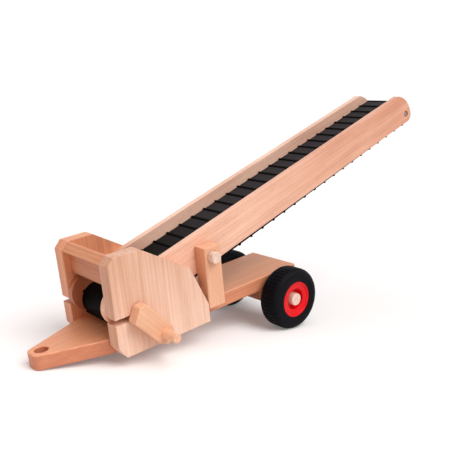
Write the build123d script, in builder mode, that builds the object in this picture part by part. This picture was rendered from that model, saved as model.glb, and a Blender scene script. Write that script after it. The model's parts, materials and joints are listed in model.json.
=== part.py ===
from build123d import *
import os
from math import asin, atan2, cos, degrees, hypot, pi, radians, sin, sqrt

# Wooden toy belt conveyor trailer, in millimetres and degrees.
# +X points forwards to the drawbar's tip, +Y to the left side with the crank, +Z up.
# The origin is the middle of the hitch hole, halfway through the board.
# The trailer stands nose down on its two wheels and the tip of its drawbar tongue.

# Two pairs of axes drawn on upright lengthwise planes share one datum:
#   deck axes  (u back along the base board, v square to it)
#   boom axes  (s back along the boom, n square to it)
# The datum is the front of the side panels at the top face of the base board.

# Base board
BOARD_THICK = 11.0
BOARD_HALF_WIDTH = 25.5
BOARD_REAR_U = 181.0
TAPER_START_U = 3.0
TONGUE_TIP_U = -46.0
TONGUE_TIP_HALF_WIDTH = 6.0
TONGUE_CORNER_R = 3.0
HITCH_U = -37.7
HITCH_HOLE_R = 4.75

# Wheels and axle block
WHEEL_R = 25.0
WHEEL_U = 159.0
WHEEL_V = -19.7
TYRE_WIDTH = 19.0
TYRE_GAP = 2.5
TYRE_SEAT_R = 14.6
TYRE_SHOULDER = 3.2
RIM_SET_BACK = 0.6
RIM_LIP_WIDTH = 1.4
RIM_DISH = 1.0
RIM_WELL_R = 7.9
RIM_WELL_DEPTH = 5.0
AXLE_R = 5.0
AXLE_PROUD = 0.2
RUNNING_GAP = 0.06
BLOCK_FRONT_U = 149.0
BLOCK_REAR_U = 171.0
BLOCK_DEPTH = 15.0

# Side panels and hopper board
PANEL_THICK = 11.0
PANEL_TOP_V = 59.0
PANEL_BOTTOM_V = -11.8
PANEL_REAR_U = 78.0
PANEL_CREST_U = 26.0
PANEL_SHOULDER = (64.5, 34.0)
PANEL_REAR_CORNER_V = 2.3
CHAMFER_U, CHAMFER_V = 5.2, 5.4
TOE_U, TOE_V = 5.6, 8.2
SLOT_HEIGHT = 4.3
HOPPER_BOTTOM_V = 39.5
HOPPER_REAR_U = 22.0
HOPPER_SET_BACK = 0.5

# Boom: two rails, a belt and its rollers
BOOM_ANGLE = 14.92
RAIL_BOTTOM_N = 2.0
RAIL_TOP_N = 29.6
RAIL_FRONT_S = 4.2
RAIL_FRONT_R = 13.6
RAIL_TIP_S = 365.7
RAIL_TIP_SWEEP_R = 22.0
RAIL_TIP_SWEEP_N = 9.1
RAIL_TIP_UPPER_R = 5.0
RAIL_TIP_LOWER_R = 7.0
RAIL_INNER_Y = 19.7
RAIL_OUTER_Y = 25.2
BELT_HALF_WIDTH = 19.4
BELT_THICK = 1.6
BELT_INNER_R = 9.4
BELT_AXIS_N = 9.5
DRIVE_S = 21.5
HEAD_S = 358.5
CLEATS = 55
CLEAT_WIDTH = 1.8
CLEAT_HEIGHT = 1.0
CLEAT_SINK = 0.4
FIRST_CLEAT_S = 81.8
ROLLER_R = 9.1
ROLLER_HALF_LENGTH = 19.1
SLIDE_TOP_GAP = 0.1
SLIDE_THICK = 3.0
SLIDE_START_S, SLIDE_END_S = 100.0, 340.0
HEAD_PIN_R = 1.7
HEAD_PIN_SET_BACK = 0.6
PIN_RECESS_R = 2.9
PIN_RECESS_DEPTH = 2.5

# Posts and the peg that carries the boom
POST_FRONT_U = 78.4
POST_WIDTH = 15.4
POST_TOP_V = 44.3
POST_BOTTOM_V = -2.5
PEG_U = 85.6
PEG_V = 36.4
PEG_R = 4.4
PEG_PROUD = 5.0

# Crank
SHAFT_R = 2.0
SHAFT_BORE_DEPTH = 6.0
ARM_GAP = 0.7
ARM_THICK = 9.0
ARM_DROP_ANGLE = 49.8
ARM_OUTLINE = ((-5.6, -7.4), (-9.3, 2.6), (-6.7, 7.4), (22.2, 7.4), (28.3, 3.9), (28.3, -4.3), (21.7, -7.4))
HANDLE_REACH = 19.5
HANDLE_R = 3.3
HANDLE_LENGTH = 14.5

# Eased edges of the wooden pieces and chamfered ends of the dowels
EASED_EDGE = 0.6
DOWEL_CHAMFER = 0.5

os.makedirs("parts", exist_ok=True)

# The lean of the base board: the tyres and the lower edge of the tongue tip touch one floor.
axle_back = WHEEL_U - TONGUE_TIP_U
axle_down = WHEEL_V + BOARD_THICK
LEAN = degrees(asin(WHEEL_R / hypot(axle_back, axle_down)) - atan2(axle_down, axle_back))


def side_plane(slope, y):
    """Upright lengthwise plane whose first axis runs back and up at this slope, from the datum."""
    hitch_u, hitch_v = HITCH_U, -BOARD_THICK / 2
    lean = radians(LEAN)
    datum_x = hitch_u * cos(lean) - hitch_v * sin(lean)
    datum_z = -hitch_u * sin(lean) - hitch_v * cos(lean)
    back = (-cos(radians(slope)), 0, sin(radians(slope)))
    return Plane(origin=(datum_x, y, datum_z), x_dir=back, z_dir=(0, 1, 0))


def deck_plane(y):
    return side_plane(LEAN, y)


def boom_plane(y):
    return side_plane(LEAN + BOOM_ANGLE, y)


def boom_point_of(u, v):
    """Boom axes of a point given in deck axes."""
    slope = radians(BOOM_ANGLE)
    return u * cos(slope) + v * sin(slope), -u * sin(slope) + v * cos(slope)


def deck_point_of(s, n):
    """Deck axes of a point given in boom axes."""
    slope = radians(BOOM_ANGLE)
    return s * cos(slope) - n * sin(slope), s * sin(slope) + n * cos(slope)


def outline_edges(plate, direction):
    """Edges that run round the outside of a plate's two broad faces."""
    across = Axis(origin=(0, 0, 0), direction=direction)
    broad_faces = plate.faces().filter_by(across).sort_by(across)
    return broad_faces[0].outer_wire().edges() + broad_faces[-1].outer_wire().edges()


CRANK_U, CRANK_V = deck_point_of(DRIVE_S, BELT_AXIS_N)
PEG_S, PEG_N = boom_point_of(PEG_U, PEG_V)
PANEL_OUTER_Y = BOARD_HALF_WIDTH + PANEL_THICK
TYRE_INNER_Y = BOARD_HALF_WIDTH + TYRE_GAP
TYRE_OUTER_Y = TYRE_INNER_Y + TYRE_WIDTH

# The board is drawn from above on its own top face, tip to rear.
BOARD_TOP = Plane(
    origin=deck_plane(0).origin, x_dir=deck_plane(0).x_dir, z_dir=deck_plane(0).y_dir)

with BuildPart() as base_board:
    with BuildSketch(BOARD_TOP):
        with BuildLine():
            Polyline(
                (TONGUE_TIP_U, TONGUE_TIP_HALF_WIDTH),
                (TAPER_START_U, BOARD_HALF_WIDTH),
                (BOARD_REAR_U, BOARD_HALF_WIDTH),
                (BOARD_REAR_U, -BOARD_HALF_WIDTH),
                (TAPER_START_U, -BOARD_HALF_WIDTH),
                (TONGUE_TIP_U, -TONGUE_TIP_HALF_WIDTH),
                close=True)
        make_face()
        with Locations((HITCH_U, 0)):
            Circle(HITCH_HOLE_R, mode=Mode.SUBTRACT)
    extrude(amount=-BOARD_THICK)
    tip_edges = base_board.edges().filter_by(Axis(origin=(0, 0, 0), direction=BOARD_TOP.z_dir))
    fillet(tip_edges.sort_by(Axis.X)[-2:], TONGUE_CORNER_R)
    chamfer(outline_edges(base_board, BOARD_TOP.z_dir), EASED_EDGE)
base_board.part.label = "base_board"
export_step(base_board.part, "parts/base_board.step")

with BuildPart() as axle_block:
    with BuildSketch(deck_plane(0)):
        with BuildLine():
            Polyline(
                (BLOCK_FRONT_U, -BOARD_THICK),
                (BLOCK_REAR_U, -BOARD_THICK),
                (BLOCK_REAR_U, -BOARD_THICK - BLOCK_DEPTH),
                (BLOCK_FRONT_U, -BOARD_THICK - BLOCK_DEPTH),
                close=True)
        make_face()
        with Locations((WHEEL_U, WHEEL_V)):
            Circle(AXLE_R + RUNNING_GAP, mode=Mode.SUBTRACT)
    extrude(amount=BOARD_HALF_WIDTH, both=True)
    deck_up = Axis(origin=(0, 0, 0), direction=BOARD_TOP.z_dir)
    chamfer(axle_block.edges().filter_by(Axis.Y).sort_by(deck_up)[:2], EASED_EDGE)
axle_block.part.label = "axle_block"
export_step(axle_block.part, "parts/axle_block.step")

with BuildPart() as wheel_axle:
    with BuildSketch(deck_plane(0)):
        with Locations((WHEEL_U, WHEEL_V)):
            Circle(AXLE_R)
    extrude(amount=TYRE_OUTER_Y - RIM_SET_BACK + AXLE_PROUD, both=True)
    chamfer(wheel_axle.edges().filter_by(GeomType.CIRCLE), DOWEL_CHAMFER)
wheel_axle.part.label = "wheel_axle"
export_step(wheel_axle.part, "parts/wheel_axle.step")


def wheel_plane(side):
    """Half section of a wheel: first axis out along the axle, second axis out along a radius."""
    centre = deck_plane(0).from_local_coords((WHEEL_U, WHEEL_V, 0))
    return Plane(origin=centre, x_dir=(0, side, 0), z_dir=(side, 0, 0))


for side, hand in ((1, "left"), (-1, "right")):
    wheel_axis = Axis(wheel_plane(side).origin, (0, side, 0))

    with BuildPart() as tyre:
        with BuildSketch(wheel_plane(side)):
            with BuildLine():
                Polyline(
                    (TYRE_INNER_Y, TYRE_SEAT_R),
                    (TYRE_INNER_Y, WHEEL_R - TYRE_SHOULDER),
                    (TYRE_INNER_Y + TYRE_SHOULDER, WHEEL_R),
                    (TYRE_OUTER_Y - TYRE_SHOULDER, WHEEL_R),
                    (TYRE_OUTER_Y, WHEEL_R - TYRE_SHOULDER),
                    (TYRE_OUTER_Y, TYRE_SEAT_R),
                    close=True)
            make_face()
        revolve(axis=wheel_axis)
    tyre.part.label = "wheel_tyre_" + hand
    export_step(tyre.part, "parts/wheel_tyre_" + hand + ".step")

    face_y = TYRE_OUTER_Y - RIM_SET_BACK
    with BuildPart() as rim:
        with BuildSketch(wheel_plane(side)):
            with BuildLine():
                Polyline(
                    (TYRE_INNER_Y + RIM_SET_BACK, AXLE_R),
                    (TYRE_INNER_Y + RIM_SET_BACK, TYRE_SEAT_R),
                    (face_y, TYRE_SEAT_R),
                    (face_y, TYRE_SEAT_R - RIM_LIP_WIDTH),
                    (face_y - RIM_DISH, TYRE_SEAT_R - RIM_LIP_WIDTH),
                    (face_y - RIM_DISH, RIM_WELL_R),
                    (face_y - RIM_WELL_DEPTH, RIM_WELL_R),
                    (face_y - RIM_WELL_DEPTH, AXLE_R),
                    close=True)
            make_face()
        revolve(axis=wheel_axis)
    rim.part.label = "wheel_rim_" + hand
    export_step(rim.part, "parts/wheel_rim_" + hand + ".step")

with BuildSketch(Plane.XY) as panel_outline:
    with BuildLine():
        Polyline(
            (0, TOE_V + PANEL_BOTTOM_V),
            (0, PANEL_TOP_V - CHAMFER_V),
            (CHAMFER_U, PANEL_TOP_V),
            (PANEL_CREST_U, PANEL_TOP_V),
            PANEL_SHOULDER,
            (PANEL_REAR_U, PANEL_REAR_CORNER_V),
            (PANEL_REAR_U, PANEL_BOTTOM_V),
            (TOE_U, PANEL_BOTTOM_V),
            close=True)
    make_face()
    with Locations((CRANK_U, CRANK_V)):
        Circle(SLOT_HEIGHT / 2, mode=Mode.SUBTRACT)
    with Locations((CRANK_U / 2, CRANK_V)):
        Rectangle(CRANK_U, SLOT_HEIGHT, mode=Mode.SUBTRACT)

for side, hand in ((1, "left"), (-1, "right")):
    with BuildPart() as side_panel:
        with BuildSketch(deck_plane(side * BOARD_HALF_WIDTH)):
            add(panel_outline.sketch)
        extrude(amount=side * PANEL_THICK)
        chamfer(outline_edges(side_panel, (0, 1, 0)), EASED_EDGE)
    side_panel.part.label = "side_panel_" + hand
    export_step(side_panel.part, "parts/side_panel_" + hand + ".step")

    with BuildPart() as post:
        with BuildSketch(deck_plane(side * BOARD_HALF_WIDTH)):
            with BuildLine():
                Polyline(
                    (POST_FRONT_U, POST_BOTTOM_V),
                    (POST_FRONT_U, POST_TOP_V),
                    (POST_FRONT_U + POST_WIDTH, POST_TOP_V),
                    (POST_FRONT_U + POST_WIDTH, POST_BOTTOM_V),
                    close=True)
            make_face()
            with Locations((PEG_U, PEG_V)):
                Circle(PEG_R, mode=Mode.SUBTRACT)
        extrude(amount=side * PANEL_THICK)
        chamfer(outline_edges(post, (0, 1, 0)), EASED_EDGE)
    post.part.label = "post_" + hand
    export_step(post.part, "parts/post_" + hand + ".step")

with BuildPart() as hopper_board:
    with BuildSketch(deck_plane(0)):
        with BuildLine():
            Polyline(
                (HOPPER_SET_BACK, HOPPER_BOTTOM_V),
                (HOPPER_SET_BACK, PANEL_TOP_V - CHAMFER_V),
                (CHAMFER_U, PANEL_TOP_V),
                (CHAMFER_U + 1, PANEL_TOP_V),
                (HOPPER_REAR_U, HOPPER_BOTTOM_V + 2),
                (HOPPER_REAR_U, HOPPER_BOTTOM_V),
                close=True)
        make_face()
    extrude(amount=BOARD_HALF_WIDTH, both=True)
hopper_board.part.label = "hopper_board"
export_step(hopper_board.part, "parts/hopper_board.step")

# A rail is a plank with two wide rounds at its lower end. Its tip is one sweep with two smaller rounds.
sweep_centre_s = RAIL_TIP_S - RAIL_TIP_SWEEP_R
sweep_rise = RAIL_TOP_N - RAIL_TIP_SWEEP_N
sweep_top_s = sweep_centre_s + sqrt(RAIL_TIP_SWEEP_R ** 2 - sweep_rise ** 2)
with BuildSketch(Plane.XY) as rail_outline:
    with BuildLine():
        Polyline(
            (sweep_top_s, RAIL_TOP_N),
            (RAIL_FRONT_S, RAIL_TOP_N),
            (RAIL_FRONT_S, RAIL_BOTTOM_N),
            (RAIL_TIP_S, RAIL_BOTTOM_N),
            (RAIL_TIP_S, RAIL_TIP_SWEEP_N))
        CenterArc(
            (sweep_centre_s, RAIL_TIP_SWEEP_N),
            RAIL_TIP_SWEEP_R,
            start_angle=0,
            arc_size=degrees(asin(sweep_rise / RAIL_TIP_SWEEP_R)))
    make_face()
    fillet(rail_outline.vertices().sort_by(Axis.X)[:2], RAIL_FRONT_R)
    fillet(rail_outline.vertices().sort_by_distance((sweep_top_s, RAIL_TOP_N))[0], RAIL_TIP_UPPER_R)
    fillet(rail_outline.vertices().sort_by_distance((RAIL_TIP_S, RAIL_BOTTOM_N))[0], RAIL_TIP_LOWER_R)
    with Locations((DRIVE_S, BELT_AXIS_N)):
        Circle(SHAFT_R + RUNNING_GAP, mode=Mode.SUBTRACT)
    with Locations((PEG_S, PEG_N)):
        Circle(PEG_R, mode=Mode.SUBTRACT)
    with Locations((HEAD_S, BELT_AXIS_N)):
        Circle(HEAD_PIN_R, mode=Mode.SUBTRACT)

for side, hand in ((1, "left"), (-1, "right")):
    with BuildPart() as rail:
        with BuildSketch(boom_plane(side * RAIL_INNER_Y)):
            add(rail_outline.sketch)
        extrude(amount=side * (RAIL_OUTER_Y - RAIL_INNER_Y))
        chamfer(outline_edges(rail, (0, 1, 0)), EASED_EDGE)
        with BuildSketch(boom_plane(side * RAIL_OUTER_Y)):
            with Locations((HEAD_S, BELT_AXIS_N)):
                Circle(PIN_RECESS_R)
        extrude(amount=-side * PIN_RECESS_DEPTH, mode=Mode.SUBTRACT)
    rail.part.label = "rail_" + hand
    export_step(rail.part, "parts/rail_" + hand + ".step")

with BuildPart() as boom_peg:
    with BuildSketch(deck_plane(0)):
        with Locations((PEG_U, PEG_V)):
            Circle(PEG_R)
    extrude(amount=PANEL_OUTER_Y + PEG_PROUD, both=True)
    chamfer(boom_peg.edges().filter_by(GeomType.CIRCLE), DOWEL_CHAMFER)
boom_peg.part.label = "boom_peg"
export_step(boom_peg.part, "parts/boom_peg.step")

with BuildPart() as slide_board:
    slide_top = BELT_AXIS_N + BELT_INNER_R - SLIDE_TOP_GAP
    with BuildSketch(boom_plane(0)):
        with Locations(((SLIDE_START_S + SLIDE_END_S) / 2, slide_top - SLIDE_THICK / 2)):
            Rectangle(SLIDE_END_S - SLIDE_START_S, SLIDE_THICK)
    extrude(amount=RAIL_INNER_Y, both=True)
slide_board.part.label = "slide_board"
export_step(slide_board.part, "parts/slide_board.step")

# The belt is a stadium loop. Its cleats are spaced evenly along its inner face.
belt_outer_r = BELT_INNER_R + BELT_THICK
roller_span = HEAD_S - DRIVE_S
half_turn = pi * BELT_INNER_R
loop_length = 2 * (roller_span + half_turn)


def cleat_location(number):
    """Place of one cleat's foot on the belt's outer face, counted up the upper run."""
    along = (FIRST_CLEAT_S - DRIVE_S + number * loop_length / CLEATS) % loop_length
    if along < roller_span:
        return Location((DRIVE_S + along, BELT_AXIS_N + belt_outer_r, 0), (0, 0, 0))
    along -= roller_span
    if along < half_turn:
        turn = along / BELT_INNER_R
        foot = (HEAD_S + belt_outer_r * sin(turn), BELT_AXIS_N + belt_outer_r * cos(turn), 0)
        return Location(foot, (0, 0, -degrees(turn)))
    along -= half_turn
    if along < roller_span:
        return Location((HEAD_S - along, BELT_AXIS_N - belt_outer_r, 0), (0, 0, 180))
    turn = (along - roller_span) / BELT_INNER_R
    foot = (DRIVE_S - belt_outer_r * sin(turn), BELT_AXIS_N - belt_outer_r * cos(turn), 0)
    return Location(foot, (0, 0, 180 - degrees(turn)))


with BuildPart() as belt:
    with BuildSketch(boom_plane(0)):
        with Locations(((DRIVE_S + HEAD_S) / 2, BELT_AXIS_N)):
            SlotCenterToCenter(roller_span, 2 * belt_outer_r)
        for number in range(CLEATS):
            with Locations(cleat_location(number)):
                with Locations((0, (CLEAT_HEIGHT - CLEAT_SINK) / 2)):
                    Rectangle(CLEAT_WIDTH, CLEAT_HEIGHT + CLEAT_SINK)
        with Locations(((DRIVE_S + HEAD_S) / 2, BELT_AXIS_N)):
            SlotCenterToCenter(roller_span, 2 * BELT_INNER_R, mode=Mode.SUBTRACT)
    extrude(amount=BELT_HALF_WIDTH, both=True)
belt.part.label = "belt"
export_step(belt.part, "parts/belt.step")

with BuildPart() as head_roller:
    with BuildSketch(boom_plane(0)):
        with Locations((HEAD_S, BELT_AXIS_N)):
            Circle(ROLLER_R)
            Circle(HEAD_PIN_R, mode=Mode.SUBTRACT)
    extrude(amount=ROLLER_HALF_LENGTH, both=True)
head_roller.part.label = "head_roller"
export_step(head_roller.part, "parts/head_roller.step")

with BuildPart() as head_pin:
    with BuildSketch(boom_plane(0)):
        with Locations((HEAD_S, BELT_AXIS_N)):
            Circle(HEAD_PIN_R)
    extrude(amount=RAIL_OUTER_Y - HEAD_PIN_SET_BACK, both=True)
head_pin.part.label = "head_pin"
export_step(head_pin.part, "parts/head_pin.step")

with BuildPart() as drive_roller:
    with BuildSketch(boom_plane(0)):
        with Locations((DRIVE_S, BELT_AXIS_N)):
            Circle(ROLLER_R)
            Circle(SHAFT_R, mode=Mode.SUBTRACT)
    extrude(amount=ROLLER_HALF_LENGTH, both=True)
drive_roller.part.label = "drive_roller"
export_step(drive_roller.part, "parts/drive_roller.step")

arm_inner_y = PANEL_OUTER_Y + ARM_GAP
with BuildPart() as crank_shaft:
    with BuildSketch(boom_plane(-PANEL_OUTER_Y)):
        with Locations((DRIVE_S, BELT_AXIS_N)):
            Circle(SHAFT_R)
    extrude(amount=PANEL_OUTER_Y + arm_inner_y + SHAFT_BORE_DEPTH)
crank_shaft.part.label = "crank_shaft"
export_step(crank_shaft.part, "parts/crank_shaft.step")

# The arm is drawn with its first axis from the shaft towards the handle. Its shaft bore is blind.
crank_centre = deck_plane(arm_inner_y).from_local_coords((CRANK_U, CRANK_V, 0))
arm_slope = radians(LEAN - ARM_DROP_ANGLE)
ARM_PLANE = Plane(origin=crank_centre, x_dir=(-cos(arm_slope), 0, sin(arm_slope)), z_dir=(0, 1, 0))

with BuildPart() as crank_arm:
    with BuildSketch(ARM_PLANE):
        with BuildLine():
            Polyline(*ARM_OUTLINE, close=True)
        make_face()
        with Locations((HANDLE_REACH, 0)):
            Circle(HANDLE_R, mode=Mode.SUBTRACT)
    extrude(amount=ARM_THICK)
    chamfer(outline_edges(crank_arm, (0, 1, 0)), EASED_EDGE)
    with BuildSketch(ARM_PLANE):
        Circle(SHAFT_R)
    extrude(amount=SHAFT_BORE_DEPTH, mode=Mode.SUBTRACT)
crank_arm.part.label = "crank_arm"
export_step(crank_arm.part, "parts/crank_arm.step")

with BuildPart() as crank_handle:
    with BuildSketch(ARM_PLANE):
        with Locations((HANDLE_REACH, 0)):
            Circle(HANDLE_R)
    extrude(amount=ARM_THICK + HANDLE_LENGTH)
    chamfer(crank_handle.edges().filter_by(GeomType.CIRCLE).sort_by(Axis.Y)[-1], DOWEL_CHAMFER)
crank_handle.part.label = "crank_handle"
export_step(crank_handle.part, "parts/crank_handle.step")
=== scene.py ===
# %% [markdown]
# # A wooden toy belt conveyor
#
# The object is a small trailer made of oiled beech. A long boom leans over its wheels, and a hand crank
# at the lower end drives a rubber belt with thin cleats. This lesson dresses it piece by piece.
# The pieces already exist as plain solids in one shared frame, so nothing has to be fitted: each piece is
# modelled where its solid stands, with the rounded edges, tread and grain that the solid leaves out.

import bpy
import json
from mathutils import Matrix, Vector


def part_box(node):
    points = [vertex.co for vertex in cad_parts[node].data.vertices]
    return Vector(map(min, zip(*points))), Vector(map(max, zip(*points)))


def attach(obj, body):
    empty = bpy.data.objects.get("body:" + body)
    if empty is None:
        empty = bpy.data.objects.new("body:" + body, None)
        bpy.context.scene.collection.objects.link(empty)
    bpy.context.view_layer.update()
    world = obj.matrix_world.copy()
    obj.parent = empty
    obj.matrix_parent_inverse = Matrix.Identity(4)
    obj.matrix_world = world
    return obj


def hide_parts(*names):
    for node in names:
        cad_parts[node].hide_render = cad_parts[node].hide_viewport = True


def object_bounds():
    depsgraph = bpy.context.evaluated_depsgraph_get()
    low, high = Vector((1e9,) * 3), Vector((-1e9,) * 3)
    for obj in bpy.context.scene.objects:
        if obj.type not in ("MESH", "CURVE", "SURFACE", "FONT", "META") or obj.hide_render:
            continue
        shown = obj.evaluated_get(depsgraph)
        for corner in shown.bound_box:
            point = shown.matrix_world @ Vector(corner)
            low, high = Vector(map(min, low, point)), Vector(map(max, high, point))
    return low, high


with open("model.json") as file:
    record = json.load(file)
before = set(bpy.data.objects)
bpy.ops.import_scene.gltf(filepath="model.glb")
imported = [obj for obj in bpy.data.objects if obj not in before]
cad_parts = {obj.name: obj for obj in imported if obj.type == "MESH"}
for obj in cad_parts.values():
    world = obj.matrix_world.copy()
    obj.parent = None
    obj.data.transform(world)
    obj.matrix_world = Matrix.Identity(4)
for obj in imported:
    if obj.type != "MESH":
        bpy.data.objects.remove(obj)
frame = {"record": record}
cad_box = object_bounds()
box_corners = [tuple(round(x, 4) for x in corner) for corner in cad_box]
print("lowest and highest corner of the solids, in metres:", box_corners)

# %% [markdown]
# ## Two slopes, one datum
#
# Nearly every piece of this toy is square to one of two slopes: the base board, which leans because the
# drawbar rests on the floor, and the boom. Modelling on a slope is awkward, so each piece is made level
# first, in its own axes: X forwards, Y to the left, Z up, in millimetres from the front of the side panels
# at the top of the base board. A matrix then lays the finished mesh on its slope.
# The board's slope is read from the frame, out of the axis of the hitch hole, and the boom leans a fixed
# angle more.

# %% Work out where level pieces go
import json
from math import asin, atan2, cos, degrees, pi, radians, sin

import bmesh
import bpy
from mathutils import Matrix, Vector

MM = 0.001
BOARD_THICK = 11.0
HITCH_FORWARD = 37.7
BOOM_LEAN = radians(14.92)
hitch_axis = frame["record"]["mounts"][0]["axis"]
DECK_SLOPE = asin(hitch_axis[0])
BOOM_SLOPE = DECK_SLOPE + BOOM_LEAN

hitch_in_deck = Vector((HITCH_FORWARD, 0, -BOARD_THICK / 2)) * MM
deck_turn = Matrix.Rotation(DECK_SLOPE, 4, "Y")
datum = -(deck_turn @ hitch_in_deck)
DECK = Matrix.Translation(datum) @ deck_turn
BOOM = Matrix.Translation(datum) @ Matrix.Rotation(BOOM_SLOPE, 4, "Y")
print("deck slope", round(degrees(DECK_SLOPE), 2), "boom slope", round(degrees(BOOM_SLOPE), 2))

# %% [markdown]
# ## A joiner's tools
#
# Wooden toys are made with few tools: a saw, a drill and sandpaper. The helpers below do the same to a
# mesh. A plank starts as a cube, a saw cut is a bisect that throws the outer side away, a drilled hole is a
# boolean, and sanded edges are a bevel whose normals are hardened, so that broad faces stay flat in the
# light. Operators act on all that is selected, so every helper starts by clearing the selection.

# %% Select and open a piece
def only(piece):
    """Selects one object and nothing else."""
    bpy.ops.object.select_all(action="DESELECT")
    piece.select_set(True)
    bpy.context.view_layer.objects.active = piece


def open_mesh(piece):
    """Goes into edit mode with the whole mesh selected."""
    only(piece)
    bpy.ops.object.mode_set(mode="EDIT")
    bpy.ops.mesh.select_all(action="SELECT")


def close_mesh():
    """Goes back to object mode."""
    bpy.ops.object.mode_set(mode="OBJECT")


# %% Pick edges and faces by where they are
def middle(part):
    """The middle of an edge or a face, in millimetres."""
    points = [v.co for v in part.verts]
    return sum(points, Vector()) / len(points) / MM


def pick(piece, kind, wanted):
    """In edit mode, selects the edges or faces that pass a test, and counts them."""
    bpy.ops.mesh.select_mode(type="EDGE" if kind == "edges" else "FACE")
    bpy.ops.mesh.select_all(action="DESELECT")
    shape = bmesh.from_edit_mesh(piece.data)
    count = 0
    for part in getattr(shape, kind):
        if wanted(part):
            part.select_set(True)
            count += 1
    bmesh.update_edit_mesh(piece.data)
    return count


# %% Plank and rod
def plank(name, back, across, up):
    """A level board from its span backwards, across and upwards, in millimetres."""
    bpy.ops.object.select_all(action="DESELECT")
    low = Vector((-back[1], across[0], up[0])) * MM
    high = Vector((-back[0], across[1], up[1])) * MM
    bpy.ops.mesh.primitive_cube_add(size=1, location=(low + high) / 2)
    piece = bpy.context.object
    piece.scale = high - low
    piece.name = name
    bpy.ops.object.transform_apply(location=True, rotation=True, scale=True)
    return piece


def rod(name, back, up, across, radius, sides=64):
    """A round bar that runs from side to side at a point given backwards and upwards."""
    bpy.ops.object.select_all(action="DESELECT")
    centre = Vector((-back, sum(across) / 2, up)) * MM
    bpy.ops.mesh.primitive_cylinder_add(
        vertices=sides, radius=radius * MM, depth=(across[1] - across[0]) * MM,
        location=centre, rotation=(pi / 2, 0, 0))
    piece = bpy.context.object
    piece.name = name
    bpy.ops.object.transform_apply(location=True, rotation=True, scale=True)
    return piece


# %% Saw and drill
# Drills and other cutters end this far to the side, well past every piece.
PAST_SIDE = 76.5
OUT_LEFT = (0, PAST_SIDE)


def saw(piece, start, end):
    """A straight cut seen from the side, from one (back, up) point to another; the middle is kept."""
    a = Vector((-start[0], 0, start[1]))
    b = Vector((-end[0], 0, end[1]))
    outward = (b - a).cross(Vector((0, 1, 0))).normalized()
    centre = sum((v.co for v in piece.data.vertices), Vector()) / len(piece.data.vertices) / MM
    if (centre - a).dot(outward) > 0:
        outward = -outward
    open_mesh(piece)
    bpy.ops.mesh.bisect(plane_co=a * MM, plane_no=outward, use_fill=True, clear_outer=True)
    close_mesh()


def take_out(piece, cutter):
    """Removes one shape from another."""
    cut = piece.modifiers.new("cut", "BOOLEAN")
    cut.operation = "DIFFERENCE"
    cut.solver = "EXACT"
    cut.object = cutter
    only(piece)
    bpy.ops.object.modifier_apply(modifier=cut.name)
    bpy.data.objects.remove(cutter)


def drill(piece, back, up, across, radius):
    """A round hole from side to side."""
    take_out(piece, rod("drill", back, up, across, radius))


# %% Sandpaper
def sand(piece, width=0.8, segments=3, angle=28):
    """Rounds every sharp edge and keeps the broad faces flat in the light."""
    only(piece)
    bpy.ops.object.shade_smooth()
    edge = piece.modifiers.new("sanded", "BEVEL")
    edge.width = width * MM
    edge.segments = segments
    edge.limit_method = "ANGLE"
    edge.angle_limit = radians(angle)
    edge.harden_normals = True
    bpy.ops.object.modifier_apply(modifier=edge.name)


# %% Copy a piece
def twin(piece, name, shift=0):
    """A copy with its own mesh, moved across in millimetres."""
    only(piece)
    bpy.ops.object.duplicate(linked=False)
    copy = bpy.context.object
    copy.name = name
    copy.data.transform(Matrix.Translation(Vector((0, shift, 0)) * MM))
    return copy


# %% [markdown]
# ## Seating a piece
#
# A finished piece is laid on its slope and handed to the body that it moves with. Its place goes into the
# mesh, not the object, so that patterns on object coordinates stay put. The plain solid is then hidden, and
# the two boxes are compared, because a piece that drifted from its solid would be seen only much later.

# %% Lay a piece on its slope and hand it to its body
def seat(piece, place, body, material, node):
    """Moves the mesh to its place, hides the plain solid it stands for, and gives it a finish."""
    only(piece)
    piece.matrix_world = place
    bpy.ops.object.transform_apply(location=True, rotation=True, scale=True)
    piece.data.materials.clear()
    piece.data.materials.append(material)
    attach(piece, body)
    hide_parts(node)

    low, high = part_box(node)
    mine = [v.co for v in piece.data.vertices]
    off = max(max(abs(min(p[i] for p in mine) - low[i]), abs(max(p[i] for p in mine) - high[i]))
              for i in range(3))
    faces = len(piece.data.polygons)
    print(piece.name, "differs from its solid's box by", round(off / MM, 2), "mm,", faces, "faces")


# %% [markdown]
# ## Shader sums that read like sums
#
# A procedural finish is a lot of small arithmetic. Wiring Math nodes by hand hides it, so a thin class
# wraps a socket and lets Python's own signs add the nodes. Everything else comes from one method that
# takes a node's type, its settings and its sockets.

# %% Wrap a socket
class Value:
    """An output socket that can be added to, multiplied and raised."""

    def __init__(self, nodes, socket):
        self.nodes = nodes
        self.socket = socket

    def math(self, operation, first, second=0.0):
        return self.nodes.node("ShaderNodeMath", {"operation": operation}, {0: first, 1: second})

    def __add__(self, other):
        return self.math("ADD", self, other)

    __radd__ = __add__

    def __mul__(self, other):
        return self.math("MULTIPLY", self, other)

    __rmul__ = __mul__

    def __sub__(self, other):
        return self.math("SUBTRACT", self, other)

    def __rsub__(self, other):
        return self.math("SUBTRACT", other, self)

    def __truediv__(self, other):
        return self.math("DIVIDE", self, other)

    def __pow__(self, other):
        return self.math("POWER", self, other)


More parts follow.
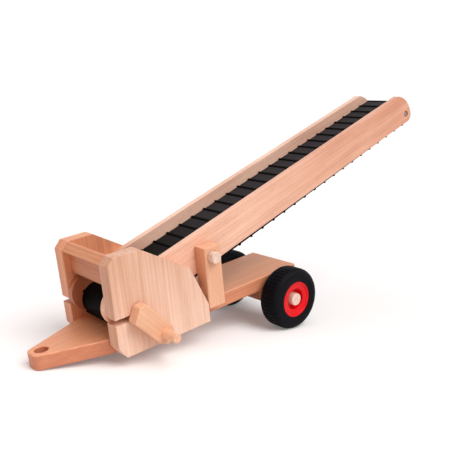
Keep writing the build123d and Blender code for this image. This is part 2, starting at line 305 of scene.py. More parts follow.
# %% Wrap a node tree
class Nodes:
    """A node tree and the ways to add to it."""

    def __init__(self, tree):
        self.tree = tree

    def node(self, kind, settings, sockets, output=0):
        made = self.tree.nodes.new(kind)
        for name, value in settings.items():
            setattr(made, name, value)
        for name, value in sockets.items():
            self.feed(made.inputs[name], value)
        return Value(self, made.outputs[output])

    def feed(self, socket, value):
        if isinstance(value, Value):
            self.tree.links.new(value.socket, socket)
        else:
            socket.default_value = value

    def laid(self, place):
        """The object's coordinates in the axes of a place, in millimetres."""
        return self.node("ShaderNodeMapping", {"vector_type": "TEXTURE"}, {
            "Vector": self.node("ShaderNodeTexCoord", {}, {}, output="Object"),
            "Location": place.translation, "Rotation": place.to_euler("XYZ"), "Scale": (MM, MM, MM)})

    def part(self, vector, axis):
        """One number of a vector."""
        return self.node("ShaderNodeSeparateXYZ", {}, {"Vector": vector}, output=axis)

    def noise(self, vector, detail, roughness):
        return self.node("ShaderNodeTexNoise", {}, {
            "Vector": vector, "Scale": 1.0, "Detail": detail, "Roughness": roughness})

    def between(self, value, low, high, to_low=0.0, to_high=1.0):
        """Stretches a range to another, clamped."""
        return self.node("ShaderNodeMapRange", {}, {
            "Value": value, "From Min": low, "From Max": high, "To Min": to_low, "To Max": to_high})

    def mix(self, share, first, second):
        """Mixes two colours."""
        return self.node("ShaderNodeMix", {"data_type": "RGBA"}, {0: share, 6: first, 7: second}, output=2)

    def stretch(self, vector, factors):
        """Scales a vector along each axis."""
        return self.node("ShaderNodeVectorMath", {"operation": "MULTIPLY"}, {0: vector, 1: factors})

    def length(self, vector):
        return self.node("ShaderNodeVectorMath", {"operation": "LENGTH"}, {0: vector}, output="Value")

    def bump(self, height, strength, distance_mm):
        return self.node("ShaderNodeBump", {}, {
            "Height": height, "Strength": strength, "Distance": distance_mm * MM})


# %% Wrap a material
class Finish(Nodes):
    """A new material and its principled shader."""

    def __init__(self, name):
        self.material = bpy.data.materials.new(name)
        self.material.use_nodes = True
        super().__init__(self.material.node_tree)
        self.shader = next(n for n in self.tree.nodes if n.type == "BSDF_PRINCIPLED")

    def set(self, **sockets):
        """Sets the shader's own sockets, whose names are written with _ for a space."""
        for name, value in sockets.items():
            self.feed(self.shader.inputs[name.replace("_", " ")], value)


def colour(red, green, blue):
    """A colour as a paint chart gives it, 0 to 255, turned into the linear values that light needs."""
    def linear(level):
        level /= 255
        return level / 12.92 if level <= 0.04045 else ((level + 0.055) / 1.055) ** 2.4
    return (linear(red), linear(green), linear(blue), 1.0)


# %% [markdown]
# ## Beech
#
# Beech is pale and slightly pink, with faint growth rings, fine pores drawn out along the fibre and short
# darker flecks where its rays come to the surface. A photograph of wood wrapped over a box shows the same
# stripes on every side and breaks at the corners. Here the wood is solid instead: the pattern lives in
# space, as rings round a pith that lies beside the plank, so that faces, edges and sawn ends agree.
# The Mapping node turns the object's coordinates until X runs along the fibre, in millimetres.

# %% Measure the grain
# A pattern's fineness along and across the fibre, per millimetre, then its noise's detail and roughness.
GRAIN = {
    "bend": (0.012, 0.05, 2.0, 0.5),
    "band": (0.006, 0.3, 2.0, 0.6),
    "streak": (0.02, 1.0, 4.0, 0.62),
    "cloud": (0.018, 0.06, 3.0, 0.5),
    "fleck": (0.34, 2.6, 1.0, 0.5),
}
STREAKY = (0.3, 0.75)
WANDER = 2.0
LATE_SHARE, BAND_SHARE, STREAK_SHARE, CLOUD_SHARE, FLECK_SHARE = 0.18, 0.34, 0.36, 0.22, 0.3
FLECK_DEPTH = 0.55
ROUGHNESS = (0.38, 0.54)
PORE_STRENGTH, PORE_DEPTH = 0.25, 0.12
ALONG = {
    "X": Matrix.Identity(4),
    "Y": Matrix.Rotation(pi / 2, 4, "Z"),
    "Z": Matrix.Rotation(-pi / 2, 4, "Y"),
}
print("the grain has", len(GRAIN), "patterns")


# %% Grow the wood
def beech(name, pale, ruddy, place, grain, pith, ring=2.6, figure=1.0, painted_shade_drifts=()):
    """A beech finish: its two tones, the piece's place, its fibre's axis and where the pith lies.

    A drift paints shade: it makes the wood ruddier along one axis of the place, between two distances in
    millimetres."""
    wood = Finish(name)
    level = wood.laid(place)
    fibre = wood.laid(place @ ALONG[grain] @ Matrix.Translation(Vector(pith) * MM))

    bend, band, streak, cloud, fleck = [
        wood.noise(wood.stretch(fibre, (along, across, across)), detail, roughness)
        for along, across, detail, roughness in GRAIN.values()]
    radius = wood.length(wood.stretch(fibre, (0.0, 1.0, 1.0)))
    turns = wood.node("ShaderNodeMath", {"operation": "FRACT"}, {0: radius / ring + bend * WANDER})
    late_wood = turns ** 4.0
    fleck = wood.between(fleck, 0.62, 0.74)

    rings = late_wood * LATE_SHARE
    bands = wood.between(band, 0.35, 0.65) * BAND_SHARE
    streaks = wood.between(streak, *STREAKY) * STREAK_SHARE
    tone = (rings + bands + streaks) * figure + wood.between(cloud, 0.35, 0.7) * CLOUD_SHARE
    # Painted shade: each drift makes the wood ruddier where less light falls on the piece.
    for axis, start, end, amount in painted_shade_drifts:
        tone = tone + wood.between(wood.part(level, axis), start, end) * amount
    base = wood.mix(wood.between(tone, 0.0, 1.0), pale, ruddy)
    deep = tuple(FLECK_DEPTH * level for level in ruddy[:3]) + (1.0,)
    base = wood.mix(fleck * FLECK_SHARE, base, deep)

    pores = streak * 0.6 + late_wood * 0.25 + fleck * 0.3
    wood.set(Base_Color=base, Roughness=wood.between(streak, *STREAKY, *ROUGHNESS),
             Normal=wood.bump(1.0 - pores, PORE_STRENGTH, PORE_DEPTH))
    return wood.material


PALE_BOARD, RUDDY_BOARD = colour(240, 172, 130), colour(202, 128, 94)
PALE_DOWEL, RUDDY_DOWEL = colour(250, 228, 212), colour(198, 158, 140)
print("the tones of board and dowel are set")

# %% [markdown]
# ## The base board
#
# One plank carries everything. It runs from behind the wheels to the drawbar, where two saw cuts taper it
# to a blunt tongue with an upright hitch hole. Seen from above the cuts are vertical, so they are made
# with the bisect operator directly, and the tongue's two corners are rounded before the hole is drilled.
# The board is painted ruddier just under its top surface, so its sides are darker than its top: painted
# shade.

# %% Saw the base board
BOARD_HALF = 25.5
BOARD_ACROSS = (-BOARD_HALF, BOARD_HALF)
BOARD_REAR = 181.0
TAPER_START, TONGUE_TIP, TONGUE_HALF, TONGUE_ROUND = 3.0, -46.0, 6.0, 3.0

base_board = plank("beech_base_board", (TONGUE_TIP, BOARD_REAR), BOARD_ACROSS, (-BOARD_THICK, 0))
for side in (1, -1):
    taper = Vector((TAPER_START - TONGUE_TIP, side * (TONGUE_HALF - BOARD_HALF), 0))
    outward = Vector((-taper.y, taper.x, 0)) * side
    open_mesh(base_board)
    bpy.ops.mesh.bisect(
        plane_co=Vector((-TONGUE_TIP, side * TONGUE_HALF, 0)) * MM, plane_no=outward.normalized(),
        use_fill=True, clear_outer=True)
    close_mesh()
print("sawed the taper of", base_board.name)


# %% Round the tongue and drill the hitch hole
HITCH_R = 4.75
HAIR = 0.1


def at_tongue_tip(edge):
    """The upright edges at the two corners of the tip."""
    at = middle(edge)
    return at.x > -TONGUE_TIP - HAIR and abs(at.z + BOARD_THICK / 2) < HAIR


open_mesh(base_board)
corners = pick(base_board, "edges", at_tongue_tip)
bpy.ops.mesh.bevel(offset=TONGUE_ROUND * MM, segments=6, affect="EDGES")
close_mesh()
print("rounded", corners, "corners of the tongue")

bpy.ops.object.select_all(action="DESELECT")
bpy.ops.mesh.primitive_cylinder_add(
    vertices=64, radius=HITCH_R * MM, depth=4 * BOARD_THICK * MM, location=(HITCH_FORWARD * MM, 0, 0))
take_out(base_board, bpy.context.object)
sand(base_board)
# Painted shade: the drift makes the board's sides ruddier than its top.
board_wood = beech("beech_board", PALE_BOARD, RUDDY_BOARD, DECK, "X", (0, 14, -60), ring=3.4, figure=0.65,
                   painted_shade_drifts=(("Z", -0.5, -1.2, 0.6),))
seat(base_board, DECK, "trailer", board_wood, "base_board")

# %% [markdown]
# ## The axle block and its dowel
#
# Under the board a short block carries the axle. The axle is a birch dowel that turns in it, and its two
# ends show in the middle of the wheels. A dowel is a cylinder with softened ends, and the same bevel that
# sands the planks softens them.

# %% Block and axle
WHEEL_BACK, WHEEL_UP = 159.0, -19.7
AXLE_R, AXLE_HALF = 5.0, 46.6
TURNING_GAP = 0.06
BLOCK_BACK, BLOCK_UP = (149.0, 171.0), (-26.0, -BOARD_THICK)

axle_block = plank("beech_axle_block", BLOCK_BACK, BOARD_ACROSS, BLOCK_UP)
drill(axle_block, WHEEL_BACK, WHEEL_UP, (-PAST_SIDE, PAST_SIDE), AXLE_R + TURNING_GAP)
sand(axle_block)
# Painted shade: the block's beech is given darker tones than the board's, for the shade under the board.
block_wood = beech("beech_block", colour(190, 124, 84), colour(150, 92, 60), DECK, "Y", (0, 40, 30), ring=3.0)
seat(axle_block, DECK, "trailer", block_wood, "axle_block")

axle = rod("birch_axle", WHEEL_BACK, WHEEL_UP, (-AXLE_HALF, AXLE_HALF), AXLE_R)
sand(axle, 0.6)
axle_wood = beech("birch_axle", PALE_DOWEL, RUDDY_DOWEL, DECK, "Y", (0, -WHEEL_BACK + 14, WHEEL_UP), ring=1.9)
seat(axle, DECK, "wheelset", axle_wood, "wheel_axle")

# %% [markdown]
# ## The side panels
#
# Two upright panels stand beside the board and hide the drive. Their outline could be drawn point by point,
# but a rectangle with four saw cuts is how such a panel is made, and each cut stays a plain pair of points.
# A slot that is open at the front lets the crank shaft slide in: a bar and a box are taken out together.
# The left panel is sawn and the right one is its twin, from a more orange plank.

# %% Saw the panels
PANEL_THICK, PANEL_REAR = 11.0, 78.0
PANEL_FOOT, PANEL_TOP = -11.8, 59.0
PANEL_OUTER = BOARD_HALF + PANEL_THICK
BEVEL_BACK, BEVEL_UP = 5.2, 53.6
TOE_BACK, TOE_UP = 5.6, -3.6
BROW_BACK, SHOULDER, PANEL_HEEL_UP = 26.0, (64.5, 34.0), 2.3
CRANK_BACK, CRANK_UP = 18.33, 14.715
SLOT = 4.3

panel = plank("beech_panel_left", (0, PANEL_REAR), (BOARD_HALF, PANEL_OUTER), (PANEL_FOOT, PANEL_TOP))
saw(panel, (0, BEVEL_UP), (BEVEL_BACK, PANEL_TOP))
saw(panel, (0, TOE_UP), (TOE_BACK, PANEL_FOOT))
saw(panel, (BROW_BACK, PANEL_TOP), SHOULDER)
saw(panel, SHOULDER, (PANEL_REAR, PANEL_HEEL_UP))
drill(panel, CRANK_BACK, CRANK_UP, OUT_LEFT, SLOT / 2)
take_out(panel, plank("slot", (-SLOT, CRANK_BACK), OUT_LEFT, (CRANK_UP - SLOT / 2, CRANK_UP + SLOT / 2)))
sand(panel)
panel_right = twin(panel, "beech_panel_right", -BOARD_HALF - PANEL_OUTER)
print("sawed", panel.name, "and", panel_right.name)

# %% Dress the panels
# Painted shade: the left panel is painted ruddier towards its top and on its front edge, where less light
# falls.
left_wood = beech("beech_panel_left", colour(252, 219, 198), colour(206, 150, 118), DECK, "Z", (0, 30, -38),
                  ring=3.1, figure=0.8, painted_shade_drifts=(("Z", 0, 50, 0.36), ("X", -1.0, -0.3, 0.2)))
right_wood = beech("beech_panel_right", PALE_BOARD, RUDDY_BOARD, DECK, "Z", (0, -34, 52), ring=2.8)
seat(panel, DECK, "trailer", left_wood, "side_panel_left")
seat(panel_right, DECK, "trailer", right_wood, "side_panel_right")

# %% [markdown]
# ## The hopper board
#
# Between the panels a thick board closes the top of the front, and its long slope behind guides the load
# onto the belt. Three saw cuts on a plank make it, and the third slopes the underside clear of the rails.
# Under the bevel the front stands a few millimetres back behind the panels' edges, in shade: a rebate, so
# a bar is taken out along its whole length. Its wood is also painted ruddier under the bevel: painted shade.

# %% Saw the hopper board
HOPPER_FRONT, HOPPER_REAR = 0.5, 22.0
FRONT_FOOT_UP, REAR_FOOT_UP = 36.0, 39.5
RIDGE_BACK, SLOPE_FOOT_UP = 6.2, 41.5
REBATE, LEDGE_UP = 5.2, 52.6

hopper = plank("beech_hopper", (HOPPER_FRONT, HOPPER_REAR), BOARD_ACROSS, (FRONT_FOOT_UP, PANEL_TOP))
saw(hopper, (HOPPER_FRONT, BEVEL_UP), (BEVEL_BACK, PANEL_TOP))
saw(hopper, (RIDGE_BACK, PANEL_TOP), (HOPPER_REAR, SLOPE_FOOT_UP))
saw(hopper, (REBATE, FRONT_FOOT_UP), (HOPPER_REAR, REAR_FOOT_UP))
take_out(hopper, plank("rebate", (-REBATE, REBATE), (-PAST_SIDE, PAST_SIDE), (0, LEDGE_UP)))
sand(hopper, 0.5)
# Painted shade: the drift makes the front face under the bevel ruddier, and the dark ruddy tone serves it.
hopper_wood = beech("beech_hopper", colour(232, 164, 120), colour(176, 104, 66), DECK, "Y", (0, 30, 90),
                    ring=3.0, figure=0.8, painted_shade_drifts=(("Z", 53, 51, 0.35),))
seat(hopper, DECK, "trailer", hopper_wood, "hopper_board")

# %% [markdown]
# ## The posts and the peg
#
# Behind the panels two posts are glued to the board. A dowel through both posts and both rails holds the
# boom at its slope, and its rounded ends stand a few millimetres proud. One post is sawn, drilled and
# sanded, and its twin is moved across, so that the peg's two holes are in line. Their front faces are
# painted a little ruddier than their sides: painted shade, for the shade that the front faces lie in.

# %% Two posts
POST_BACK, POST_UP = (78.4, 93.8), (-2.5, 44.3)
PEG_BACK, PEG_UP, PEG_R, PEG_PROUD = 85.6, 36.4, 4.4, 5.0
PEG_HALF = PANEL_OUTER + PEG_PROUD

post = plank("beech_post_left", POST_BACK, (BOARD_HALF, PANEL_OUTER), POST_UP)
drill(post, PEG_BACK, PEG_UP, OUT_LEFT, PEG_R)
sand(post)
post_right = twin(post, "beech_post_right", -BOARD_HALF - PANEL_OUTER)
# Painted shade: the drift paints the posts' front faces ruddier than their sides.
post_wood = beech("beech_post", colour(244, 190, 156), colour(206, 144, 108), DECK, "Z", (0, -34, -92),
                  ring=3.2, figure=0.8, painted_shade_drifts=(("X", -79.2, -78.6, 0.3),))
seat(post, DECK, "trailer", post_wood, "post_left")
seat(post_right, DECK, "trailer", post_wood, "post_right")

# %% A peg
peg = rod("birch_peg", PEG_BACK, PEG_UP, (-PEG_HALF, PEG_HALF), PEG_R)
sand(peg, 0.9, 4)
peg_wood = beech("birch_peg", PALE_DOWEL, RUDDY_DOWEL, DECK, "Y", (0, 30, PEG_UP), ring=1.8)
seat(peg, DECK, "trailer", peg_wood, "boom_peg")

# %% [markdown]
# ## The boom's rails
#
# Each rail is a long plank. Its lower end is a full half circle and its tip one wide sweep with two small
# corners. A belt sander makes such an end as a row of short flats that are tangent to the curve, and the
# same is done here: one shallow saw cut after another round each arc.

# %% Round an end with tangent cuts
def round_end(piece, centre, radius, first, last, step=4.5):
    """Sands an arc seen from the side; 0 degrees points backwards and 90 degrees up."""
    cuts = max(2, round((last - first) / step))
    for index in range(cuts):
        angle = radians(first + (index + 0.5) * (last - first) / cuts)
        touch = (centre[0] + radius * cos(angle), centre[1] + radius * sin(angle))
        along = (touch[0] - sin(angle), touch[1] + cos(angle))
        saw(piece, touch, along)


# %% Saw a rail
RAIL_BACK, RAIL_UP, RAIL_ACROSS = (4.2, 365.7), (2.0, 29.6), (19.7, 25.2)
RAIL_FRONT_R = (RAIL_UP[1] - RAIL_UP[0]) / 2
SWEEP_R, SWEEP_AT = 22.0, (343.7, 9.1)
CORNER_R, HEEL_R, CORNER_STEP = 5.0, 7.0, 9

corner_rise = RAIL_UP[1] - CORNER_R - SWEEP_AT[1]
corner_run = ((SWEEP_R - CORNER_R) ** 2 - corner_rise ** 2) ** 0.5
corner_turn = degrees(asin(corner_rise / (SWEEP_R - CORNER_R)))
corner_at = (SWEEP_AT[0] + corner_run, SWEEP_AT[1] + corner_rise)

rail = plank("beech_rail_left", RAIL_BACK, RAIL_ACROSS, RAIL_UP)
round_end(rail, (RAIL_BACK[0] + RAIL_FRONT_R, RAIL_UP[0] + RAIL_FRONT_R), RAIL_FRONT_R, 90, 270)
round_end(rail, SWEEP_AT, SWEEP_R, 0, corner_turn)
round_end(rail, corner_at, CORNER_R, corner_turn, 90, CORNER_STEP)
round_end(rail, (RAIL_BACK[1] - HEEL_R, RAIL_UP[0] + HEEL_R), HEEL_R, -90, 0, CORNER_STEP)
print("the sweep meets the small corner at", round(corner_turn), "degrees")

# %% Drill the rail and mirror it
DRIVE, HEAD = (21.5, 9.5), (358.5, 9.5)
SHAFT_R, HEAD_PIN_R, RECESS_R, RECESS_DEPTH = 2.0, 1.7, 2.9, 2.5

peg_on_boom = Matrix.Rotation(-BOOM_LEAN, 4, "Y") @ Vector((-PEG_BACK, 0, PEG_UP))
drill(rail, -peg_on_boom.x, peg_on_boom.z, OUT_LEFT, PEG_R)
drill(rail, *DRIVE, OUT_LEFT, SHAFT_R + TURNING_GAP)
drill(rail, *HEAD, OUT_LEFT, HEAD_PIN_R)
drill(rail, *HEAD, (RAIL_ACROSS[1] - RECESS_DEPTH, PAST_SIDE), RECESS_R)
sand(rail, 0.7, 3, 32)
rail_right = twin(rail, "beech_rail_right")
rail_right.data.transform(Matrix.Scale(-1, 4, (0, 1, 0)))
rail_right.data.flip_normals()

# %% Dress the rails
PALE_RAIL, RUDDY_RAIL = colour(255, 213, 188), colour(210, 146, 116)
# Painted shade: the left rail is painted ruddier towards its tip, where the light falls off along the boom.
left_rail_wood = beech("beech_rail_left", PALE_RAIL, RUDDY_RAIL, BOOM, "X", (0, 40, -22), ring=3.0,
                       figure=0.7, painted_shade_drifts=(("X", -90, -360, 0.6),))
# Painted shade: the right rail's dark ruddy tone and strong drift paint deep shade at its front end.
right_rail_wood = beech("beech_rail_right", colour(253, 216, 194), colour(180, 106, 72), BOOM, "X",
                        (0, -46, 34), figure=0.4, painted_shade_drifts=(("X", -80, -25, 0.95),))
seat(rail, BOOM, "trailer", left_rail_wood, "rail_left")
seat(rail_right, BOOM, "trailer", right_rail_wood, "rail_right")

# %% [markdown]
# ## The crank
#
# The crank arm is a short beech block with cut corners, pressed on the steel shaft, and a dowel is glued
# into its lower end as a handle. It hangs at an angle of its own, so it gets its own axes, in which its
# cuts are easy to give: backwards runs from the shaft to the handle.

# %% Arm
ARM_DROP = radians(49.8)
ARM_BACK, ARM_UP, ARM_GAP, ARM_THICK = (-9.3, 28.3), (-7.4, 7.4), 0.7, 9.0
ARM_ACROSS = (PANEL_OUTER + ARM_GAP, PANEL_OUTER + ARM_GAP + ARM_THICK)
ARM = (DECK @ Matrix.Translation(Vector((-CRANK_BACK, 0, CRANK_UP)) * MM)
       @ Matrix.Rotation(-ARM_DROP, 4, "Y"))

arm = plank("beech_crank_arm", ARM_BACK, ARM_ACROSS, ARM_UP)
saw(arm, (-5.6, ARM_UP[0]), (ARM_BACK[0], 2.6))
saw(arm, (ARM_BACK[0], 2.6), (-6.7, ARM_UP[1]))
saw(arm, (22.2, ARM_UP[1]), (ARM_BACK[1], 3.9))
saw(arm, (ARM_BACK[1], -4.3), (21.7, ARM_UP[0]))
sand(arm)
arm_wood = beech("beech_arm", colour(242, 194, 160), colour(216, 154, 118), ARM, "X", (0, 52, 24), ring=2.8)
seat(arm, ARM, "crank", arm_wood, "crank_arm")

# %% Handle
HANDLE_REACH, HANDLE_R, HANDLE_LENGTH, HANDLE_SEAT = 19.5, 3.3, 14.5, 1.0
handle_across = (ARM_ACROSS[0] + HANDLE_SEAT, ARM_ACROSS[1] + HANDLE_LENGTH)
handle = rod("birch_handle", HANDLE_REACH, 0, handle_across, HANDLE_R)
sand(handle, 0.9, 4)
handle_wood = beech("birch_handle", colour(246, 200, 168), colour(220, 160, 124), ARM, "Y", (0, 20, 0),
                    ring=1.8)
seat(handle, ARM, "crank", handle_wood, "crank_handle")

# %% [markdown]
# ## The tyres
#
# The tyre is a rubber ring with rounded shoulders and fine cross ribs. A cylinder of 144 sides gives three
# columns to a rib: its rims are beveled round, every third column is pressed in as a groove, and both ends
# are inset to the seat and bridged into a hole. Real grooves, not bump, make the outline notched.

# %% Round the shoulders and press the grooves
WHEEL = DECK @ Matrix.Translation(Vector((-WHEEL_BACK, 0, WHEEL_UP)) * MM)
WHEEL_R, TYRE_ACROSS, TYRE_SEAT_R, TYRE_SHOULDER = 25.0, (28.0, 47.0), 14.6, 5.0
RIBS, GROOVE_DEPTH = 48, 0.5
COLUMNS = 3 * RIBS

tyre = rod("rubber_tyre_left", 0, 0, TYRE_ACROSS, WHEEL_R, sides=COLUMNS)
open_mesh(tyre)
pick(tyre, "edges", lambda e: abs(e.verts[0].co.y - e.verts[1].co.y) < 1e-6)
bpy.ops.mesh.bevel(offset=TYRE_SHOULDER * MM, segments=6, affect="EDGES")


def is_groove(face):
    """Every third column of the tread and of the outer half of the shoulders."""
    at = middle(face)
    column = int((atan2(at.z, at.x) % (2 * pi)) / (2 * pi) * COLUMNS)
    return column % 3 == 0 and abs(face.normal.y) < 0.75


grooves = pick(tyre, "faces", is_groove)
bpy.ops.mesh.extrude_region_shrink_fatten(TRANSFORM_OT_shrink_fatten={"value": -GROOVE_DEPTH * MM})
close_mesh()
print("pressed", grooves, "faces into grooves")

# %% Line the side walls and open the hole
# How wide each ring of the wall is, inwards from the shoulder, and how far its inner edge moves out.
WALL_RINGS = ((1.4, 0.0), (0.35, -0.3), (0.5, 0.0), (0.35, 0.3), (1.3, 0.0), (0.9, -0.25))
open_mesh(tyre)
pick(tyre, "faces", lambda f: abs(f.normal.y) > 0.99 and len(f.verts) > 100)
for width, depth in WALL_RINGS:
    bpy.ops.mesh.inset(thickness=width * MM, depth=depth * MM)
wall_r = WHEEL_R - TYRE_SHOULDER - sum(width for width, depth in WALL_RINGS)
bpy.ops.mesh.inset(thickness=(wall_r - TYRE_SEAT_R) * MM, depth=0)
bpy.ops.mesh.delete(type="FACE")
bpy.ops.mesh.select_mode(type="EDGE")
bpy.ops.mesh.select_all(action="DESELECT")
bpy.ops.mesh.select_non_manifold()
bpy.ops.mesh.bridge_edge_loops()
close_mesh()
only(tyre)
bpy.ops.object.shade_smooth_by_angle(angle=radians(35))
print("the flat of the wall ends at radius", round(wall_r, 2))

# %% [markdown]
# ## The rims
#
# A rim is a red plastic disc: a lip at the tyre, a shallow dish and a deep well round the axle. A profile
# could be spun, but all three forms come from one cap that is inset and pushed in again and again, and the
# disc stays closed all the while.

# %% Turn the rim
RIM_ACROSS = (28.6, 46.4)
LIP_R, DISH_R, WELL_R = TYRE_SEAT_R - 1.4, TYRE_SEAT_R - 1.9, 8.5
DISH_DEPTH, WELL_DEPTH = 1.0, 5.5
# The radius that each inset shrinks the cap to, and how far it moves out.
RIM_STEPS = (
    (TYRE_SEAT_R - 0.4, 0.0), (LIP_R, 0.0), (DISH_R, -DISH_DEPTH), (WELL_R + 0.6, -0.1), (WELL_R, -0.3),
    (WELL_R - 0.25, -WELL_DEPTH + DISH_DEPTH + 0.4))

rim = rod("red_rim_left", 0, 0, RIM_ACROSS, TYRE_SEAT_R, sides=96)
open_mesh(rim)
pick(rim, "faces", lambda f: f.normal.y > 0.99)
cap_r = TYRE_SEAT_R
for radius, depth in RIM_STEPS:
    bpy.ops.mesh.inset(thickness=(cap_r - radius) * MM, depth=depth * MM)
    cap_r = radius
close_mesh()
drill(rim, 0, 0, OUT_LEFT, AXLE_R)
sand(rim, 0.3, 3, 25)


# %% Four wheel pieces
def mirrored(piece, name):
    """A copy on the other side, turned half round so that its faces still point outwards."""
    copy = twin(piece, name)
    copy.data.transform(Matrix.Rotation(pi, 4, "Z"))
    return copy


rubber = Finish("tyre_rubber")
rubber.set(Base_Color=colour(12, 12, 17), Roughness=0.55, Specular_IOR_Level=0.07)
red = Finish("red_plastic")
red.set(Base_Color=colour(224, 9, 23), Roughness=0.35, Specular_IOR_Level=0.2)
tyre_right = mirrored(tyre, "rubber_tyre_right")
rim_right = mirrored(rim, "red_rim_right")
seat(tyre, WHEEL, "wheelset", rubber.material, "wheel_tyre_left")
seat(tyre_right, WHEEL, "wheelset", rubber.material, "wheel_tyre_right")
seat(rim, WHEEL, "wheelset", red.material, "wheel_rim_left")
seat(rim_right, WHEEL, "wheelset", red.material, "wheel_rim_right")

# %% [markdown]
# ## The belt
#
# The belt is a thin rubber loop with a low cleat about every 13 mm. Fifty-five cleats placed one by one
# would each need its own turn, so one link is modelled flat: a strip with the cleat extruded from its
# middle. An array repeats it, and the long strip is then wrapped round the two rollers by moving each point
# along the loop. The belt is slack: its lower run hangs a little, and it bulges round the drive roller.

# %% Model one link
BELT_HALF, BELT_THICK, BELT_INNER_R = 19.4, 1.6, 9.4
CLEATS, CLEAT_WIDTH, CLEAT_HEIGHT, CLEAT_TAPER, FIRST_CLEAT = 55, 1.8, 1.0, 0.9, 81.8
STRIPS, CLEAT_MARGIN = 10, 0.4
SPAN = HEAD[0] - DRIVE[0]
LOOP = 2 * (SPAN + pi * BELT_INNER_R)
PITCH = LOOP / CLEATS

belt = plank("rubber_belt", (-PITCH / 2, PITCH / 2), (-BELT_HALF, BELT_HALF), (0, BELT_THICK))
open_mesh(belt)
cuts = [-PITCH / 2 + PITCH * k / STRIPS for k in range(1, STRIPS)]
cuts = [c for c in cuts if abs(c) > CLEAT_WIDTH / 2 + CLEAT_MARGIN]
for cut in cuts + [-CLEAT_WIDTH / 2, 0, CLEAT_WIDTH / 2]:
    bpy.ops.mesh.select_all(action="SELECT")
    bpy.ops.mesh.bisect(plane_co=Vector((cut, 0, 0)) * MM, plane_no=(1, 0, 0))
pick(belt, "faces", lambda f: f.normal.z > 0.9 and abs(middle(f).x) < CLEAT_WIDTH / 2)
bpy.ops.mesh.extrude_region_move(TRANSFORM_OT_translate={"value": (0, 0, CLEAT_HEIGHT * MM)})
bpy.ops.transform.resize(value=(CLEAT_TAPER, 1, 1))
pick(belt, "faces", lambda f: abs(f.normal.x) > 0.99 and abs(abs(middle(f).x) - PITCH / 2) < 0.01)
bpy.ops.mesh.delete(type="FACE")
close_mesh()
print("a link is", round(PITCH, 2), "mm long")

# %% Repeat the link
MERGE = 0.00001
repeat = belt.modifiers.new("links", "ARRAY")
repeat.count = CLEATS
repeat.use_relative_offset = False
repeat.use_constant_offset = True
repeat.constant_offset_displace = (PITCH * MM, 0, 0)
repeat.use_merge_vertices = True
repeat.merge_threshold = MERGE
only(belt)
bpy.ops.object.modifier_apply(modifier=repeat.name)
print("the strip has", len(belt.data.vertices), "points")

# %% Wrap the strip round the rollers
SLACK, BULGE = 0.8, 2.2


def on_loop(along, height):
    """A point of the loop, backwards and up, from its run along the inner face and its height on that."""
    radius = BELT_INNER_R + height
    along %= LOOP
    if along < SPAN:
        return DRIVE[0] + along, DRIVE[1] + radius
    along -= SPAN
    if along < pi * BELT_INNER_R:
        turn = along / BELT_INNER_R
        return HEAD[0] + radius * sin(turn), HEAD[1] + radius * cos(turn)
    along -= pi * BELT_INNER_R
    if along < SPAN:
        share = along / SPAN
        return HEAD[0] - along, HEAD[1] - radius - SLACK * sin(pi * share) - BULGE * share ** 2
    turn = (along - SPAN) / BELT_INNER_R
    radius += BULGE * (1 + cos(turn)) / 2
    return DRIVE[0] - radius * sin(turn), DRIVE[1] - radius * cos(turn)


for point in belt.data.vertices:
    along = FIRST_CLEAT - DRIVE[0] + point.co.x / MM
    back, up = on_loop(along, point.co.z / MM)
    point.co = Vector((-back, point.co.y / MM, up)) * MM
open_mesh(belt)
bpy.ops.mesh.remove_doubles(threshold=MERGE)
bpy.ops.mesh.normals_make_consistent(inside=False)
close_mesh()
sand(belt, 0.15, 1, 50)

# %% [markdown]
# ## The belt's rubber
#
# The cleats are painted blacker than the strip between them, and the strip is painted blacker at the belt's
# lower end than along the boom: both are painted shade, for the shade on the cleats' faces and under the
# hopper. Both could be painted by hand, but both follow from where a point lies. A cleat is whatever stands
# out past the strip, measured from the line between the two rollers' axes, and the strip's tone follows its
# distance along the boom. Where the slack run hangs low, the same rule paints the strip as black as a
# cleat: painted shade for its underside.

# %% Paint shade on the cleats and the belt's lower end
# Painted shade: the strip is black at the belt's lower end and turns grey along the boom.
PAINTED_SHADE_UNTIL, PAINTED_SHADE_GONE_FROM = 70.0, 130.0
REACH = 20.0
belt_rubber = Finish("belt_rubber")
in_boom = belt_rubber.laid(BOOM)
back = belt_rubber.part(in_boom, "X") * -1.0
past_head = belt_rubber.between(back, HEAD[0], HEAD[0] + REACH, 0.0, REACH)
before_drive = belt_rubber.between(back, DRIVE[0], DRIVE[0] - REACH, 0.0, REACH)
above_axis = belt_rubber.part(in_boom, "Z") - HEAD[1]
from_axis = ((past_head + before_drive) ** 2.0 + above_axis * above_axis) ** 0.5
strip_top = BELT_INNER_R + BELT_THICK
# Painted shade: the cleats and the low slack run are painted near black.
cleat_painted_shade = belt_rubber.between(from_axis, strip_top + 0.1, strip_top + 0.3)
painted_shade_fade = belt_rubber.between(back, PAINTED_SHADE_UNTIL, PAINTED_SHADE_GONE_FROM)
strip = belt_rubber.mix(painted_shade_fade, colour(13, 12, 10), colour(45, 43, 46))
belt_rubber.set(Base_Color=belt_rubber.mix(cleat_painted_shade, strip, colour(5, 5, 5)), Roughness=0.55,
                Specular_IOR_Level=0.03)
seat(belt, BOOM, "trailer", belt_rubber.material, "belt")

# %% [markdown]
# ## Metal and the solids that stay
#
# The head pin and the crank shaft are plain ground steel, and the rollers and the slide board hide inside
# the boom. Their solids already have the right shape, so they stay and only get a finish.

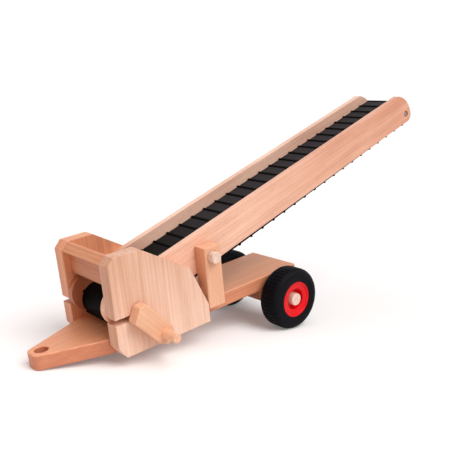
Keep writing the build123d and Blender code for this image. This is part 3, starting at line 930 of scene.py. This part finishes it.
# %% Dress the solids that stay
steel = Finish("ground_steel")
steel.set(Base_Color=colour(156, 150, 150), Roughness=0.35, Metallic=1.0)
roller_wood = beech("birch_roller", PALE_DOWEL, RUDDY_DOWEL, BOOM, "Y", (0, 12, 6), ring=2.0)
slide_wood = beech("beech_slide", PALE_RAIL, RUDDY_RAIL, BOOM, "X", (0, 10, -40))
finishes = {"head_pin": steel.material, "crank_shaft": steel.material, "head_roller": roller_wood,
            "drive_roller": roller_wood, "slide_board": slide_wood}
for node, finish in finishes.items():
    solid = bpy.data.objects[node]
    solid.data.materials.clear()
    solid.data.materials.append(finish)
print("dressed", len(finishes), "solids")

# %% [markdown]
# ## The floor, the light and the camera
#
# The toy stands on a white table under soft light: a broad lamp from behind the camera and to its right, a
# weaker one overhead, a faint warm one from the toy's front, and light from all round. The floor is lit like
# everything else, so it keeps the shadow, and a little glow that only the camera and mirrors see lifts its
# paper to white. The same mask makes the world white behind it without adding light to the object.

# %% Floor
FLOOR_SIZE = 12
FLOOR_GLOW = (0.145, 0.15, 0.155, 1)


def seen(nodes):
    """1 where the camera, a reflection or a see-through ray looks, 0 where light only bounces."""
    camera, mirror, glass = [nodes.node("ShaderNodeLightPath", {}, {}, output=name)
                             for name in ("Is Camera Ray", "Is Glossy Ray", "Is Transmission Ray")]
    return camera.math("MAXIMUM", camera.math("MAXIMUM", camera, mirror), glass)


bpy.ops.object.select_all(action="DESELECT")
bpy.ops.mesh.primitive_plane_add(size=FLOOR_SIZE, location=(0, 0, cad_box[0].z))
floor = bpy.context.object
floor.name = "floor"
paper = Finish("white_paper")
paper.set(Base_Color=(0.89, 0.89, 0.89, 1), Roughness=0.9, Specular_IOR_Level=0.0, Emission_Strength=1.0)
paper.set(Emission_Color=paper.mix(seen(paper), (0, 0, 0, 1), FLOOR_GLOW))
floor.data.materials.append(paper.material)
print("the floor lies", round(cad_box[0].z / MM, 2), "mm from the frame's zero")

# %% World
AMBIENT = (0.165, 0.113, 0.082, 1)
world = bpy.data.worlds.new("studio")
world.use_nodes = True
bpy.context.scene.world = world
air = Nodes(world.node_tree)
sky = world.node_tree.nodes["Background"]
sky.inputs["Strength"].default_value = 1.0
air.feed(sky.inputs["Color"], air.mix(seen(air), AMBIENT, (1, 1, 1, 1)))


# %% Three soft lamps
def lamp(name, comes_from, power, softness, tint):
    """A distant lamp; softness is the angle that it fills in the sky, in degrees."""
    data = bpy.data.lights.new(name, "SUN")
    data.energy = power
    data.color = tint
    data.angle = radians(softness)
    made = bpy.data.objects.new(name, data)
    bpy.context.scene.collection.objects.link(made)
    made.rotation_euler = Vector(comes_from).to_track_quat("Z", "Y").to_euler()


lamp("window", (-0.1, 0.72, 0.82), 2.25, 45, (1, 1, 1))
lamp("softbox", (0.0, -0.1, 1.0), 1.1, 70, (0.95, 0.98, 1.05))
lamp("card", (0.9, 0.3, 0.35), 0.5, 60, (1.0, 0.64, 0.45))

# %% [markdown]
# ## Where the picture is taken from
#
# The camera stands ahead of the toy and to its left, about as high as the boom's tip, and looks down at
# its middle. Its place and its slight roll were found by matching the toy's edges in a photograph, so they
# are plain numbers here. A longer lens from further off would flatten the boom.

# %% Camera
CAMERA_AT = Vector((184.4, 390.2, 168.0)) * MM
LOOKS_AT = Vector((-178.2, -25.0, 69.4)) * MM
ROLL = radians(2.03)
camera_data = bpy.data.cameras.new("camera")
camera = bpy.data.objects.new("camera", camera_data)
bpy.context.scene.collection.objects.link(camera)
camera_data.sensor_width = 36
camera_data.lens = 52.5
camera_data.shift_x = 0.003
aim = (LOOKS_AT - CAMERA_AT).to_track_quat("-Z", "Y").to_matrix().to_4x4()
camera.matrix_world = Matrix.Translation(CAMERA_AT) @ aim @ Matrix.Rotation(ROLL, 4, "Z")
bpy.context.scene.camera = camera
bpy.context.scene.view_settings.view_transform = "Standard"
print("the camera is", round((LOOKS_AT - CAMERA_AT).length, 3), "m from what it looks at")
